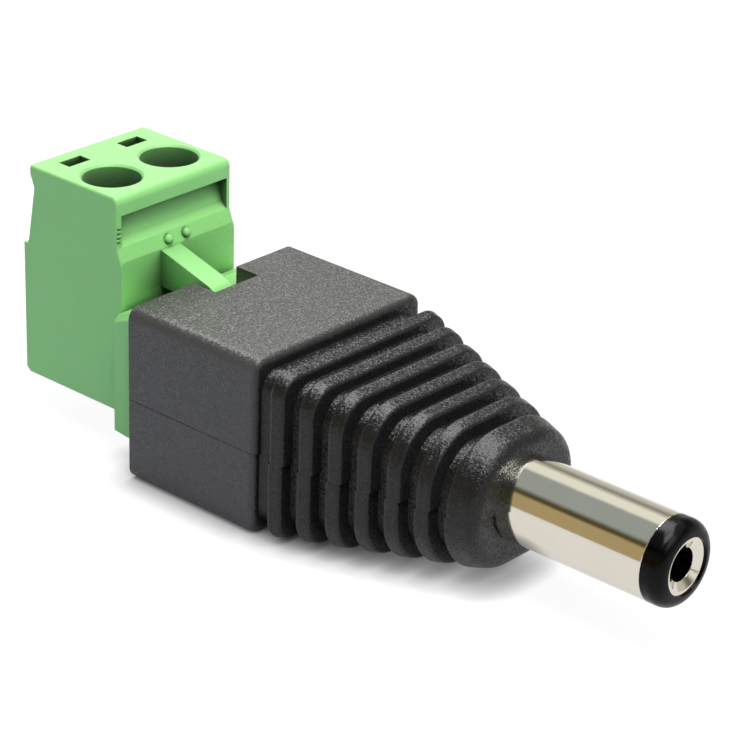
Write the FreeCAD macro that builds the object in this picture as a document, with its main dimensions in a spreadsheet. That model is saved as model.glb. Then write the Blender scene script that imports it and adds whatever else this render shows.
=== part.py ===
import FreeCAD, Part
import math
import os

import Sketcher
from FreeCAD import Rotation, Vector

# Power adapter: a barrel plug in a ribbed black overmould, with a pull-off two-pole screw terminal.
# Millimetres. +X runs out along the barrel, +Z is up, the base of the overmould lies on Z = 0 and
# the origin is under the middle of the whole length. Inside this file x is counted from the rear
# face of the overmould, and DATUM moves it to the origin.

os.makedirs("parts", exist_ok=True)
doc = FreeCAD.newDocument("barrel_plug_adapter")
sheet = doc.addObject("Spreadsheet::Sheet", "sizes")

SIZES = {
    # Overmould: a flat-sided block, six ribs on a tapering core, and a round nose.
    "body_height": 11.85,
    "axis_height": 5.7,
    "rib_height": 5.78,
    "nose_height": 5.45,
    "block_width": 15.0,
    "block_length": 11.1,
    "block_corner": 0.8,
    "block_edge": 0.5,
    "first_groove": 1.18,
    "rib_pitch": 2.0,
    "rib_width": 1.03,
    "rib_edge": 0.25,
    "rib_half_width": 7.68,
    "rib_half_height": 5.73,
    "rib_corner": 1.5,
    "nose_half_width": 5.25,
    "nose_half_height": 4.6,
    "nose_corner": 4.25,
    "rib_draft": 0.27,
    "nose_length": 1.95,
    "nose_draft": 0.6,
    "nose_shoulder": 0.9,
    "core_half_width": 7.15,
    "core_half_height": 5.3,
    "core_corner": 1.2,
    "core_end_half": 4.1,
    "core_end_half_height": 3.5,
    "core_end_corner": 3.2,
    "seam_height": 5.6,
    "mould_offset": 0.13,
    "notch_depth": 1.95,
    "notch_left": 1.8,
    "notch_right": 2.05,
    # Barrel: nickel sleeve, insulator with a rounded tip, and the centre contact.
    "sleeve_diameter": 5.5,
    "sleeve_bore": 4.6,
    "sleeve_length": 10.6,
    "sleeve_embed": 9.2,
    "neck_diameter": 5.1,
    "flange_diameter": 7.0,
    "flange_thick": 0.8,
    "tip_length": 1.4,
    "tip_round": 0.88,
    "tip_recess": 0.12,
    "contact_tube": 3.1,
    "contact_bore": 2.1,
    "contact_depth": 11.5,
    "mouth_diameter": 3.65,
    "mouth_flare": 0.6,
    "mouth_rim": 3.1,
    "stem_diameter": 2.0,
    "stem_head": 3.0,
    "stem_head_thick": 0.4,
    "window_width": 0.6,
    "window_length": 6.0,
    # Stamped lugs and the washer between them, behind the sleeve.
    "lug_thick": 0.4,
    "lug_width": 1.6,
    "lug_plate": 4.4,
    "lug_clear": 0.7,
    "washer_thick": 0.8,
    "washer_clear": 0.1,
    # Header: the male shroud that is half sunk in the overmould.
    "header_width": 12.1,
    "header_base": 1.8,
    "header_height": 8.6,
    "header_wall": 0.8,
    "header_side_wall": 0.87,
    "header_reach": 2.9,
    "header_depth": 12.0,
    "header_back_wall": 2.0,
    "header_lead_length": 1.1,
    "header_lead_drop": 0.45,
    "header_edge": 0.4,
    "latch_slot_clear": 0.75,
    "latch_slot_end": 1.9,
    "pitch": 5.08,
    "pin_size": 1.0,
    "pin_point": 0.25,
    "pin_reach": 8.1,
    "pin_tail": 3.4,
    # Terminal plug housing.
    "plug_width": 10.16,
    "plug_fit": 0.1,
    "plug_gap": 0.3,
    "plug_height": 14.76,
    "plug_depth": 9.15,
    "nose_reach": 8.7,
    "nose_lead": 0.4,
    "shoulder_height": 9.2,
    "shoulder_step": 0.4,
    "waist_inset": 1.08,
    "waist_drop": 1.46,
    "lip_inset": 0.72,
    "lip_height": 0.6,
    "foot_chamfer": 0.3,
    "top_round": 0.5,
    "side_round": 0.2,
    "bevel_setback": 0.35,
    "bevel_drop": 3.4,
    "bevel_height": 0.91,
    "marker_drop": 1.26,
    "marker_depth": 1.0,
    "marker_floor": 0.5,
    "marker_ledge": 0.5,
    "serration_pitch": 0.3,
    "serration_width": 0.14,
    "serration_depth": 0.1,
    "marker_wall": 0.38,
    "hole_setback": 3.5,
    "access_diameter": 3.85,
    "access_lead": 0.15,
    "test_slot_length": 1.85,
    "test_slot_width": 1.0,
    "test_slot_setback": 6.98,
    "test_slot_depth": 4.0,
    "dot_diameter": 0.72,
    "dot_spacing": 1.58,
    "latch_left": 1.58,
    "latch_width": 1.7,
    "latch_height": 2.55,
    "latch_reach": 5.0,
    "latch_drop": 1.38,
    "latch_tip": 1.0,
    "latch_clear": 0.15,
    # Clamp: a cage that the screw lifts against the contact bar.
    "screw_diameter": 3.0,
    "thread_clear": 0.04,
    "screw_head": 4.1,
    "head_clear": 0.06,
    "head_thick": 1.6,
    "head_play": 0.3,
    "drive_slot": 0.7,
    "drive_depth": 0.9,
    "cage_width": 4.0,
    "cage_length": 4.4,
    "cage_top": 1.3,
    "cage_bottom": 1.0,
    "cage_side": 0.4,
    "cage_opening": 4.0,
    "cage_round": 0.35,
    "cage_clear": 0.1,
    "cage_travel": 2.5,
    "floor_gap": 0.3,
    "wire_bore": 3.0,
    "wire_funnel": 4.2,
    "funnel_depth": 1.3,
    # Contact: a bar in the cage, a step down, and two leaves that grip the header pin.
    "bar_height": 5.7,
    "bar_thick": 0.8,
    "bar_width": 2.4,
    "bar_clear": 0.2,
    "bar_end": 0.5,
    "tip_gap": 0.02,
    "leaf_thick": 0.4,
    "leaf_height": 2.4,
    "leaf_flare": 0.3,
    "pin_grip": 0.02,
    "web_thick": 0.4,
    "aperture": 1.5,
    "aperture_wall": 0.6,
    "contact_clear": 0.2,
}

for row, (alias, size) in enumerate(SIZES.items(), start=1):
    sheet.set(f"A{row}", alias)
    sheet.set(f"B{row}", str(size))
    sheet.setAlias(f"B{row}", alias)
doc.recompute()

RIBS = 6
SERRATIONS = 4

# Places along x, counted from the rear face of the overmould, as expressions on the sheet.
NOSE_REAR = f"(sizes.block_length + sizes.first_groove + {RIBS} * sizes.rib_pitch)"
NOSE_FRONT = f"({NOSE_REAR} + sizes.nose_length)"
SLEEVE_END = f"({NOSE_FRONT} + sizes.sleeve_length)"
TIP = f"({SLEEVE_END} + sizes.tip_length)"
SLEEVE_REAR = f"({NOSE_FRONT} - sizes.sleeve_embed)"
HEADER_RIM = "(-sizes.header_reach)"
HEADER_BACK = "(sizes.header_depth - sizes.header_reach)"
CAVITY_END = f"({HEADER_BACK} - sizes.header_back_wall)"
PLUG_FACE = f"({HEADER_RIM} - sizes.plug_gap)"
PLUG_REAR = f"({PLUG_FACE} - sizes.plug_depth)"
HOLE_X = f"({PLUG_FACE} - sizes.hole_setback)"
WEB_FRONT = f"({PLUG_FACE} - 2 * sizes.plug_gap)"
LEAF_END = f"({PLUG_FACE} + sizes.nose_reach - sizes.aperture_wall - sizes.contact_clear / 2)"
TUBE_LENGTH = "(sizes.tip_recess + sizes.contact_depth + sizes.lug_clear)"
DATUM = f"(-({TIP} + {PLUG_REAR}) / 2)"

# Heights and half widths that several pieces share.
AXIS = "sizes.axis_height"
WASHER_RADIUS = "((sizes.pitch + sizes.pin_size) / 2 - sizes.washer_clear)"
HEADER_TOP = "(sizes.header_base + sizes.header_height)"
CAVITY_FLOOR = "(sizes.header_base + sizes.header_wall)"
CAVITY_ROOF = f"({HEADER_TOP} - sizes.header_wall)"
PIN_HEIGHT = f"(({CAVITY_FLOOR} + {CAVITY_ROOF}) / 2)"
PLUG_BASE = f"({CAVITY_FLOOR} + sizes.plug_fit)"
PLUG_TOP = f"({PLUG_BASE} + sizes.plug_height)"
BEVEL_TOP = "(sizes.plug_height - sizes.bevel_drop)"
BEVEL_BASE = f"({BEVEL_TOP} - sizes.bevel_height)"
WAIST = "(sizes.plug_height - sizes.waist_drop)"
BAR_BASE = f"({PLUG_BASE} + sizes.bar_height)"
BAR_TOP = f"({BAR_BASE} + sizes.bar_thick)"
OPENING_TOP = f"({BAR_TOP} + sizes.bar_clear)"
OPENING_BASE = f"({OPENING_TOP} - sizes.cage_opening)"
CAGE_BASE = f"({OPENING_BASE} - sizes.cage_bottom)"
CAGE_TOP = f"({OPENING_TOP} + sizes.cage_top)"
HEAD_SEAT = f"({CAGE_TOP} + sizes.cage_travel + sizes.bar_clear)"
WIRE_HEIGHT = f"(({OPENING_BASE} + {BAR_BASE}) / 2)"

# The two poles, by their place across the plug.
POLES = ((1, "-(sizes.pitch / 2)"), (2, "(sizes.pitch / 2)"))


def value(expression):
    """Number that an expression on the sheet gives now."""
    return float(sheet.evalExpression(expression))


def bind_place(item, x, y, z):
    """Tie the place of a primitive or body to expressions, with x from the overmould's rear face."""
    item.setExpression("Placement.Base.x", f"{DATUM} + {x}")
    item.setExpression("Placement.Base.y", str(y))
    item.setExpression("Placement.Base.z", str(z))


def box(name, x, y, z):
    """Box between two expressions on each axis."""
    item = doc.addObject("Part::Box", name)
    item.setExpression("Length", f"({x[1]}) - ({x[0]})")
    item.setExpression("Width", f"({y[1]}) - ({y[0]})")
    item.setExpression("Height", f"({z[1]}) - ({z[0]})")
    bind_place(item, f"({x[0]})", f"({y[0]})", f"({z[0]})")
    return item


def rod(name, direction, radius, length, x, y, z, end_radius=None):
    """Cylinder, or cone with an end radius, from a point along a direction."""
    kind = "Part::Cylinder" if end_radius is None else "Part::Cone"
    item = doc.addObject(kind, name)
    item.setExpression("Radius" if end_radius is None else "Radius1", radius)
    if end_radius is not None:
        item.setExpression("Radius2", end_radius)
    item.setExpression("Height", length)
    item.Placement.Rotation = Rotation(Vector(0, 0, 1), direction)
    bind_place(item, x, y, z)
    return item


def join(name, pieces):
    """Union of several pieces."""
    item = doc.addObject("Part::MultiFuse", name)
    item.Shapes = pieces
    item.Refine = True
    return item


def cut(name, base, tools):
    """Base without the tools."""
    item = doc.addObject("Part::Cut", name)
    item.Base = base
    item.Tool = tools[0] if len(tools) == 1 else join(f"{name}_tools", tools)
    item.Refine = True
    return item


def common(name, base, tool):
    """What two pieces share."""
    item = doc.addObject("Part::Common", name)
    item.Base = base
    item.Tool = tool
    return item


def body_at(name, x, y, z):
    """PartDesign body whose own origin stands at a place on the sheet."""
    item = doc.addObject("PartDesign::Body", name)
    bind_place(item, x, y, z)
    return item


def origin_plane(body, role):
    """One of the body's own origin planes, by its role."""
    return next(plane for plane in body.Origin.OriginFeatures if plane.Role == role)


def sketch_on(body, name, role, offset=None):
    """Empty sketch on an origin plane, moved along its normal."""
    sketch = body.newObject("Sketcher::SketchObject", name)
    sketch.AttachmentSupport = [(origin_plane(body, role), "")]
    sketch.MapMode = "FlatFace"
    if offset is not None:
        sketch.setExpression("AttachmentOffset.Base.z", offset)
    return sketch


def hold_point(sketch, geometry, point, x, y):
    """Hold a point of a sketch at two distances from its origin."""
    for kind, distance in (("DistanceX", x), ("DistanceY", y)):
        index = sketch.addConstraint(
            Sketcher.Constraint(kind, -1, 1, geometry, point, value(distance)))
        sketch.setExpression(f"Constraints[{index}]", distance)


def outline(sketch, points):
    """Closed outline of straight edges through points given as expressions."""
    places = [Vector(value(x), value(y), 0) for x, y in points]
    first = sketch.GeometryCount
    for start, end in zip(places, places[1:] + places[:1]):
        sketch.addGeometry(Part.LineSegment(start, end))
    for number in range(len(points)):
        following = first + (number + 1) % len(points)
        sketch.addConstraint(Sketcher.Constraint("Coincident", first + number, 2, following, 1))
    for number, (x, y) in enumerate(points):
        hold_point(sketch, first + number, 1, x, y)


def rounded_rectangle(sketch, half_width, half_height, radius):
    """Rectangle with round corners about the sketch's origin."""
    wide, high, bend = value(half_width), value(half_height), value(radius)
    flat, tall = wide - bend, high - bend
    corners = ((flat, tall, 0), (-flat, tall, 90), (-flat, -tall, 180), (flat, -tall, 270))
    sides = ((Vector(wide, -tall, 0), Vector(wide, tall, 0)),
             (Vector(flat, high, 0), Vector(-flat, high, 0)),
             (Vector(-wide, tall, 0), Vector(-wide, -tall, 0)),
             (Vector(-flat, -high, 0), Vector(flat, -high, 0)))
    for (start, end), (x, y, turn) in zip(sides, corners):
        sketch.addGeometry(Part.LineSegment(start, end))
        ring = Part.Circle(Vector(x, y, 0), Vector(0, 0, 1), bend)
        sketch.addGeometry(Part.ArcOfCircle(ring, math.radians(turn), math.radians(turn + 90)))
    for number in range(4):
        line, arc, following = 2 * number, 2 * number + 1, (2 * number + 2) % 8
        sketch.addConstraint(Sketcher.Constraint("Tangent", line, 2, arc, 1))
        sketch.addConstraint(Sketcher.Constraint("Tangent", arc, 2, following, 1))
        sketch.addConstraint(Sketcher.Constraint(
            "Vertical" if number % 2 == 0 else "Horizontal", line))
    for arc in (3, 5, 7):
        sketch.addConstraint(Sketcher.Constraint("Equal", 1, arc))
    for kind, geometry, distance in (("DistanceX", 0, half_width), ("DistanceY", 2, half_height),
                                     ("DistanceX", 4, f"-({half_width})"),
                                     ("DistanceY", 6, f"-({half_height})")):
        index = sketch.addConstraint(
            Sketcher.Constraint(kind, -1, 1, geometry, 1, value(distance)))
        sketch.setExpression(f"Constraints[{index}]", distance)
    index = sketch.addConstraint(Sketcher.Constraint("Radius", 1, bend))
    sketch.setExpression(f"Constraints[{index}]", radius)


def pad(body, name, sketch, length, midplane=False, reversed_side=False):
    """Pad of a sketch; a midplane pad grows both ways."""
    feature = body.newObject("PartDesign::Pad", name)
    feature.Profile = sketch
    feature.setExpression("Length", length)
    feature.Midplane = midplane
    feature.Reversed = reversed_side
    body.Tip = feature
    return feature


def revolve(body, name, sketch):
    """Full turn of a sketch about its own horizontal axis."""
    feature = body.newObject("PartDesign::Revolution", name)
    feature.Profile = sketch
    feature.ReferenceAxis = (sketch, ["H_Axis"])
    feature.Angle = 360
    body.Tip = feature
    return feature


def dress(body, kind, name, size, chosen):
    """Fillet or chamfer of the edges of the tip that a test picks."""
    doc.recompute()
    base = body.Tip
    names = [f"Edge{number}" for number, edge in enumerate(base.Shape.Edges, start=1) if chosen(edge)]
    feature = body.newObject(f"PartDesign::{kind}", name)
    feature.Base = (base, names)
    feature.setExpression("Radius" if kind == "Fillet" else "Size", size)
    body.Tip = feature
    return feature


def across(place):
    """Test for an edge that lies in the plane x = place of its body."""
    def chosen(edge):
        bounds = edge.BoundBox
        return bounds.XLength < 1e-4 and abs(bounds.XMin - place) < 1e-4
    return chosen


def along_y(x, z):
    """Test for an edge along y through a point of the side view of its body."""
    def chosen(edge):
        bounds = edge.BoundBox
        return (bounds.XLength < 1e-4 and bounds.ZLength < 1e-4 and bounds.YLength > 0.5
                and abs(bounds.XMin - x) < 1e-4 and abs(bounds.ZMin - z) < 1e-4)
    return chosen


def loft(body, name, start, end):
    """Straight-sided solid between two sketches, drawn from the far one so that its faces turn out."""
    feature = body.newObject("PartDesign::AdditiveLoft", name)
    feature.Profile = end
    feature.Sections = [start]
    feature.Ruled = True
    body.Tip = feature
    return feature


def tapered(name, start, end):
    """Body lofted between rounded rectangles; each is (x, height, half width, half height, corner)."""
    body = body_at(name, "0", "0", "0")
    sketches = []
    for side, (place, height, half_width, half_height, corner) in (("rear", start), ("front", end)):
        sketch = sketch_on(body, f"{name}_{side}", "YZ_Plane", place)
        sketch.setExpression("AttachmentOffset.Base.y", height)
        rounded_rectangle(sketch, half_width, half_height, corner)
        sketches.append(sketch)
    loft(body, f"{name}_loft", *sketches)
    return body


def blend(start, end, part):
    """Value part of the way from one expression to another."""
    return f"({start} + (({end}) - ({start})) * ({part}))"


def overmould_block():
    """Flat-sided rear block with rounded long edges and softened ends."""
    middle = "(sizes.body_height / 2)"
    body = body_at("overmould_block", "0", "0", middle)
    section = sketch_on(body, "block_section", "YZ_Plane")
    rounded_rectangle(section, "sizes.block_width / 2", middle, "sizes.block_corner")
    pad(body, "block_pad", section, "sizes.block_length")
    dress(body, "Fillet", "block_front_edge", "sizes.block_edge", across(value("sizes.block_length")))
    return body


def drafted(name, number, length, draft):
    """Collar of the grip: rounded rectangle that narrows by a draft over its length."""
    rear = f"(sizes.block_length + sizes.first_groove + {number} * sizes.rib_pitch)"
    part = f"({number} / {RIBS})"
    height = blend("sizes.rib_height", "sizes.nose_height", part)
    wide = blend("sizes.rib_half_width", "sizes.nose_half_width", part)
    high = blend("sizes.rib_half_height", "sizes.nose_half_height", part)
    bend = blend("sizes.rib_corner", "sizes.nose_corner", part)
    return tapered(name, (rear, height, wide, high, bend),
                   (f"({rear} + {length})", height, f"({wide} - {draft})", f"({high} - {draft})",
                    f"({bend} - {draft})"))


def overmould_rib(number):
    """One rib of the grip, with rounded edges."""
    name = f"rib_{number + 1}"
    body = drafted(name, number, "sizes.rib_width", "sizes.rib_draft")
    dress(body, "Fillet", f"{name}_edges", "sizes.rib_edge",
          lambda edge: edge.BoundBox.XLength < 1e-4)
    return body


def overmould_nose():
    """Round nose that the barrel leaves from."""
    body = drafted("nose", RIBS, "sizes.nose_length", "sizes.nose_draft")
    dress(body, "Fillet", "nose_rear_edge", "sizes.rib_edge", across(value(NOSE_REAR)))
    dress(body, "Fillet", "nose_front_edge", "sizes.nose_shoulder", across(value(NOSE_FRONT)))
    return body


def overmould_core():
    """Tapering core that shows as the floor of the grooves."""
    return tapered("core",
                   ("(sizes.block_length - sizes.block_edge - sizes.rib_edge)", "sizes.rib_height",
                    "sizes.core_half_width", "sizes.core_half_height", "sizes.core_corner"),
                   (f"({NOSE_REAR} + sizes.rib_edge)", "sizes.nose_height",
                    "sizes.core_end_half", "sizes.core_end_half_height", "sizes.core_end_corner"))


def overmould_form():
    """Outer form of the overmould, its lower half offset at the seam as the two mould halves are."""
    pieces = [overmould_block(), overmould_core(), overmould_nose()]
    pieces += [overmould_rib(number) for number in range(RIBS)]
    whole = join("overmould_outer", pieces)
    sides = ("-sizes.block_width", "sizes.block_width")
    upper_zone = box("upper_zone", ("-1", TIP), sides, ("sizes.seam_height", "2 * sizes.body_height"))
    lower_zone = box("lower_zone", ("sizes.mould_offset", TIP), sides, ("-1", "sizes.seam_height"))
    upper = common("upper_half", whole, upper_zone)
    lower = common("lower_half", whole, lower_zone)
    lower.setExpression("Placement.Base.x", "-sizes.mould_offset")
    return join("overmould_halves", [upper, lower])


def header_block():
    """Outer block of the header, with the lead-in slope on its rim."""
    body = body_at("header_block", HEADER_RIM, "0", "sizes.header_base")
    side = sketch_on(body, "header_side", "XZ_Plane")
    outline(side, [("0", "sizes.header_lead_drop / 4"),
                   ("0", "sizes.header_height - sizes.header_lead_drop"),
                   ("sizes.header_lead_length", "sizes.header_height"),
                   ("sizes.header_depth", "sizes.header_height"),
                   ("sizes.header_depth", "0"),
                   ("sizes.header_lead_length", "0")])
    pad(body, "header_pad", side, "sizes.header_width", midplane=True)
    top = value("sizes.header_height")
    dress(body, "Chamfer", "header_long_edges", "sizes.header_edge",
          lambda edge: edge.BoundBox.YLength < 1e-4 and edge.BoundBox.ZMax > top - 1e-4)
    return body


def header_pin(number, pole):
    """Square pin through the back wall of the header, pointed at the plug end."""
    body = body_at(f"header_pin_{number}", f"({CAVITY_END} - sizes.pin_reach)", pole, PIN_HEIGHT)
    section = sketch_on(body, f"pin_section_{number}", "YZ_Plane")
    half = "sizes.pin_size / 2"
    outline(section, [(half, half), (f"-{half}", half), (f"-{half}", f"-{half}"), (half, f"-{half}")])
    pad(body, f"pin_pad_{number}", section,
        "sizes.pin_reach + sizes.header_back_wall + sizes.pin_tail")
    dress(body, "Chamfer", f"pin_tip_{number}", "sizes.pin_point", across(0))
    return body


def header_housing(block, pins):
    """Header with its open cavity, the slot for the latch and the pin holes."""
    half_cavity = "(sizes.header_width / 2 - sizes.header_side_wall)"
    cavity = box("header_cavity", (f"({HEADER_RIM} - 1)", CAVITY_END),
                 (f"-{half_cavity}", half_cavity), (CAVITY_FLOOR, CAVITY_ROOF))
    slot = box("latch_slot", (f"({HEADER_RIM} - 1)", f"({HEADER_RIM} + sizes.latch_slot_end)"),
               ("-(sizes.latch_left + sizes.latch_slot_clear)",
                "(sizes.latch_width - sizes.latch_left + sizes.latch_slot_clear)"),
               (f"({CAVITY_ROOF} - 1)", f"({HEADER_TOP} + 1)"))
    return cut("header_housing", block, [cavity, slot] + pins)


def turned(name, x, points):
    """Body turned about the barrel's axis from a half section of (x, radius) points."""
    body = body_at(name, x, "0", AXIS)
    half = sketch_on(body, f"{name}_half_section", "XZ_Plane")
    outline(half, points)
    revolve(body, f"{name}_turn", half)
    return body


def barrel_sleeve():
    """Nickel-plated sleeve with the flange that anchors it in the overmould."""
    length = f"({SLEEVE_END} - {SLEEVE_REAR})"
    outer, bore, flange = "sizes.sleeve_diameter / 2", "sizes.sleeve_bore / 2", "sizes.flange_diameter / 2"
    body = turned("barrel_sleeve", SLEEVE_REAR,
                  [("0", bore), ("0", flange), ("sizes.flange_thick", flange),
                   ("sizes.flange_thick", "sizes.neck_diameter / 2"),
                   ("sizes.sleeve_embed", "sizes.neck_diameter / 2"), ("sizes.sleeve_embed", outer),
                   (length, outer), (length, bore)])
    dress(body, "Fillet", "sleeve_front_edge", "sizes.tip_recess / 2",
          lambda edge: across(value(length))(edge)
          and edge.BoundBox.YLength > value("sizes.sleeve_bore") + 0.1)
    return body


def barrel_insulator():
    """Black insulator that lines the sleeve, with the rounded tip ring in front of it."""
    length = f"({TIP} - {SLEEVE_REAR})"
    sleeve = f"({SLEEVE_END} - {SLEEVE_REAR})"
    mouth, tube, stem = "sizes.mouth_diameter / 2", "sizes.contact_tube / 2", "sizes.stem_diameter / 2"
    collar = f"({stem} + sizes.lug_clear)"
    body = turned("barrel_insulator", SLEEVE_REAR,
                  [("-sizes.lug_thick", stem), ("-sizes.lug_thick", collar), ("0", collar),
                   ("0", "sizes.sleeve_bore / 2"), (sleeve, "sizes.sleeve_bore / 2"),
                   (sleeve, "sizes.sleeve_diameter / 2"), (length, "sizes.sleeve_diameter / 2"),
                   (length, mouth), (f"({length} - sizes.tip_recess)", mouth),
                   (f"({length} - sizes.tip_recess - sizes.mouth_flare)", tube),
                   (f"({length} - {TUBE_LENGTH})", tube), (f"({length} - {TUBE_LENGTH})", stem)])
    dress(body, "Fillet", "tip_round", "sizes.tip_round",
          lambda edge: across(value(length))(edge)
          and edge.BoundBox.YLength > value("sizes.mouth_diameter") + 0.1)
    return body


def centre_contact():
    """Turned centre contact: riveted stem, sprung tube with windows, and a flared mouth."""
    stack = "(2 * sizes.lug_thick + sizes.washer_thick)"
    rear = f"({SLEEVE_REAR} - {stack} - sizes.stem_head_thick)"
    face = f"({TIP} - sizes.tip_recess - {rear})"
    tube, stem, bore = "sizes.contact_tube / 2", "sizes.stem_diameter / 2", "sizes.contact_bore / 2"
    tube_rear = f"({TIP} - {TUBE_LENGTH} - {rear})"
    flare = f"({face} - sizes.mouth_flare)"
    body = turned("contact_turning", rear,
                  [("0", "0"), ("0", "sizes.stem_head / 2"),
                   ("sizes.stem_head_thick", "sizes.stem_head / 2"), ("sizes.stem_head_thick", stem),
                   (tube_rear, stem), (tube_rear, tube), (flare, tube),
                   (face, "sizes.mouth_diameter / 2"), (face, "sizes.mouth_rim / 2"),
                   (f"({face} - sizes.mouth_flare / 2)", bore),
                   (f"({face} - sizes.contact_depth)", bore), (f"({face} - sizes.contact_depth)", "0")])
    mouth = f"({TIP} - 3 * sizes.mouth_flare)"
    half = "sizes.window_width / 2"
    window = box("contact_windows", (f"({mouth} - sizes.window_length)", mouth),
                 ("-sizes.contact_tube", "sizes.contact_tube"), (f"{AXIS} - {half}", f"{AXIS} + {half}"))
    return cut("centre_contact", body, [window])


def lug(name, plate_x, plate_diameter, hole_diameter, side):
    """Stamped lug: a plate behind the sleeve and a tail that laps the outer face of a header pin."""
    plate = rod(f"{name}_plate", Vector(1, 0, 0), f"{plate_diameter} / 2", "sizes.lug_thick",
                plate_x, "0", AXIS)
    inner = "(sizes.pitch / 2 + sizes.pin_size / 2)"
    outer = f"({inner} + sizes.lug_thick)"
    arm_y = ("0", outer) if side > 0 else (f"-{outer}", "0")
    tail_y = (inner, outer) if side > 0 else (f"-{outer}", f"-{inner}")
    edges = (f"{PIN_HEIGHT} - sizes.lug_width / 2", f"{PIN_HEIGHT} + sizes.lug_width / 2")
    plate_end = f"({plate_x} + sizes.lug_thick)"
    arm = box(f"{name}_arm", (plate_x, plate_end), arm_y, edges)
    tail = box(f"{name}_tail", (f"({HEADER_BACK} + sizes.pin_tail / 4)", plate_end), tail_y, edges)
    hole = rod(f"{name}_hole", Vector(1, 0, 0), f"{hole_diameter} / 2", "3 * sizes.lug_thick",
               f"({plate_x} - sizes.lug_thick)", "0", AXIS)
    return cut(name, join(f"{name}_blank", [plate, arm, tail]), [hole])


def rear_washer():
    """Insulating washer between the two lugs."""
    x = f"({SLEEVE_REAR} - sizes.lug_thick - sizes.washer_thick)"
    disc = rod("washer_disc", Vector(1, 0, 0), WASHER_RADIUS, "sizes.washer_thick", x, "0", AXIS)
    hole = rod("washer_hole", Vector(1, 0, 0), "sizes.stem_diameter / 2", "3 * sizes.washer_thick",
               f"({x} - sizes.washer_thick)", "0", AXIS)
    return cut("rear_washer", disc, [hole])


def overmould_body(form, block, pins, lugs):
    """Overmould with the seats of the header, pins, lugs and barrel, and the notch for the latch."""
    axis = Vector(1, 0, 0)
    lug_plate = f"({SLEEVE_REAR} - sizes.lug_thick)"
    washer = f"({lug_plate} - sizes.washer_thick)"
    head = f"({washer} - sizes.lug_thick - sizes.stem_head_thick)"
    notch = box("overmould_notch", ("-1", "sizes.notch_depth"), ("-sizes.notch_left", "sizes.notch_right"),
                (HEADER_TOP, "(sizes.body_height + 1)"))
    seats = [
        rod("sleeve_seat", axis, "sizes.neck_diameter / 2", "2 * sizes.sleeve_embed",
            SLEEVE_REAR, "0", AXIS),
        rod("flange_seat", axis, "sizes.flange_diameter / 2", "sizes.lug_thick + sizes.flange_thick",
            lug_plate, "0", AXIS),
        rod("washer_seat", axis, WASHER_RADIUS, "sizes.washer_thick", washer, "0", AXIS),
        rod("head_seat", axis, "sizes.stem_head / 2", "sizes.lug_thick + sizes.stem_head_thick",
            head, "0", AXIS),
    ]
    return cut("overmould_body", form, [block, notch] + seats + pins + lugs)


def plug_form():
    """Solid outer form of the terminal plug: tall housing, plug-in nose, latch and pole dots."""
    body = body_at("plug_form", PLUG_FACE, "0", PLUG_BASE)
    side = sketch_on(body, "plug_side", "XZ_Plane")
    outline(side, [("0", "0"), ("0", BEVEL_BASE), ("-sizes.bevel_setback", BEVEL_TOP),
                   ("-sizes.bevel_setback", "sizes.plug_height"),
                   ("-(sizes.plug_depth - sizes.lip_inset)", "sizes.plug_height"),
                   ("-(sizes.plug_depth - sizes.lip_inset)", "sizes.plug_height - sizes.lip_height"),
                   ("-(sizes.plug_depth - sizes.waist_inset)", WAIST),
                   ("-(sizes.plug_depth - sizes.shoulder_step)", "sizes.shoulder_height"),
                   ("-sizes.plug_depth", "sizes.shoulder_height"),
                   ("-sizes.plug_depth", "0")])
    pad(body, "plug_pad", side, "sizes.plug_width", midplane=True)
    top, depth = value("sizes.plug_height"), value("sizes.plug_depth")
    dress(body, "Fillet", "top_front_round", "sizes.top_round",
          along_y(-value("sizes.bevel_setback"), top))
    dress(body, "Fillet", "waist_round", "sizes.top_round",
          along_y(value("sizes.waist_inset") - depth, value(WAIST)))
    dress(body, "Chamfer", "foot_chamfer", "sizes.foot_chamfer", along_y(-depth, 0))
    half, low = value("sizes.plug_width / 2"), value(BEVEL_BASE)
    dress(body, "Fillet", "side_rounds", "sizes.side_round",
          lambda edge: edge.BoundBox.YLength < 1e-4 and abs(abs(edge.BoundBox.YMin) - half) < 1e-4
          and (edge.BoundBox.ZMax > low + 1e-4 and edge.BoundBox.XMin > -value("sizes.top_round") - 0.4
               or edge.BoundBox.ZMin > top - 1e-4))
    return body


def plug_nose():
    """Nose that goes into the header, with a lead-in chamfer all round its end."""
    body = body_at("plug_nose", PLUG_FACE, "0", PLUG_BASE)
    side = sketch_on(body, "nose_side", "XZ_Plane")
    height = f"({CAVITY_ROOF} - {PLUG_BASE} - sizes.plug_fit)"
    outline(side, [("-sizes.plug_gap", "0"), ("-sizes.plug_gap", height),
                   ("sizes.nose_reach", height), ("sizes.nose_reach", "0")])
    pad(body, "nose_pad", side, "sizes.plug_width", midplane=True)
    dress(body, "Chamfer", "nose_lead_in", "sizes.nose_lead", across(value("sizes.nose_reach")))
    return body


def plug_latch():
    """Sloping latch rib on the front face, off the middle, with a rounded tip."""
    body = body_at("plug_latch", PLUG_FACE, "(sizes.latch_width / 2 - sizes.latch_left)", PLUG_BASE)
    side = sketch_on(body, "latch_side", "XZ_Plane")
    base = f"({HEADER_TOP} + sizes.latch_clear - {PLUG_BASE})"
    top = f"({base} + sizes.latch_height)"
    end = f"({top} - sizes.latch_drop)"
    outline(side, [("-sizes.plug_gap", base), ("-sizes.plug_gap", top), ("0", top),
                   ("sizes.latch_reach", end), ("sizes.latch_reach", base)])
    pad(body, "latch_pad", side, "sizes.latch_width", midplane=True)
    dress(body, "Fillet", "latch_tip", "sizes.latch_tip", along_y(value("sizes.latch_reach"), value(end)))
    return body


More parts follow.
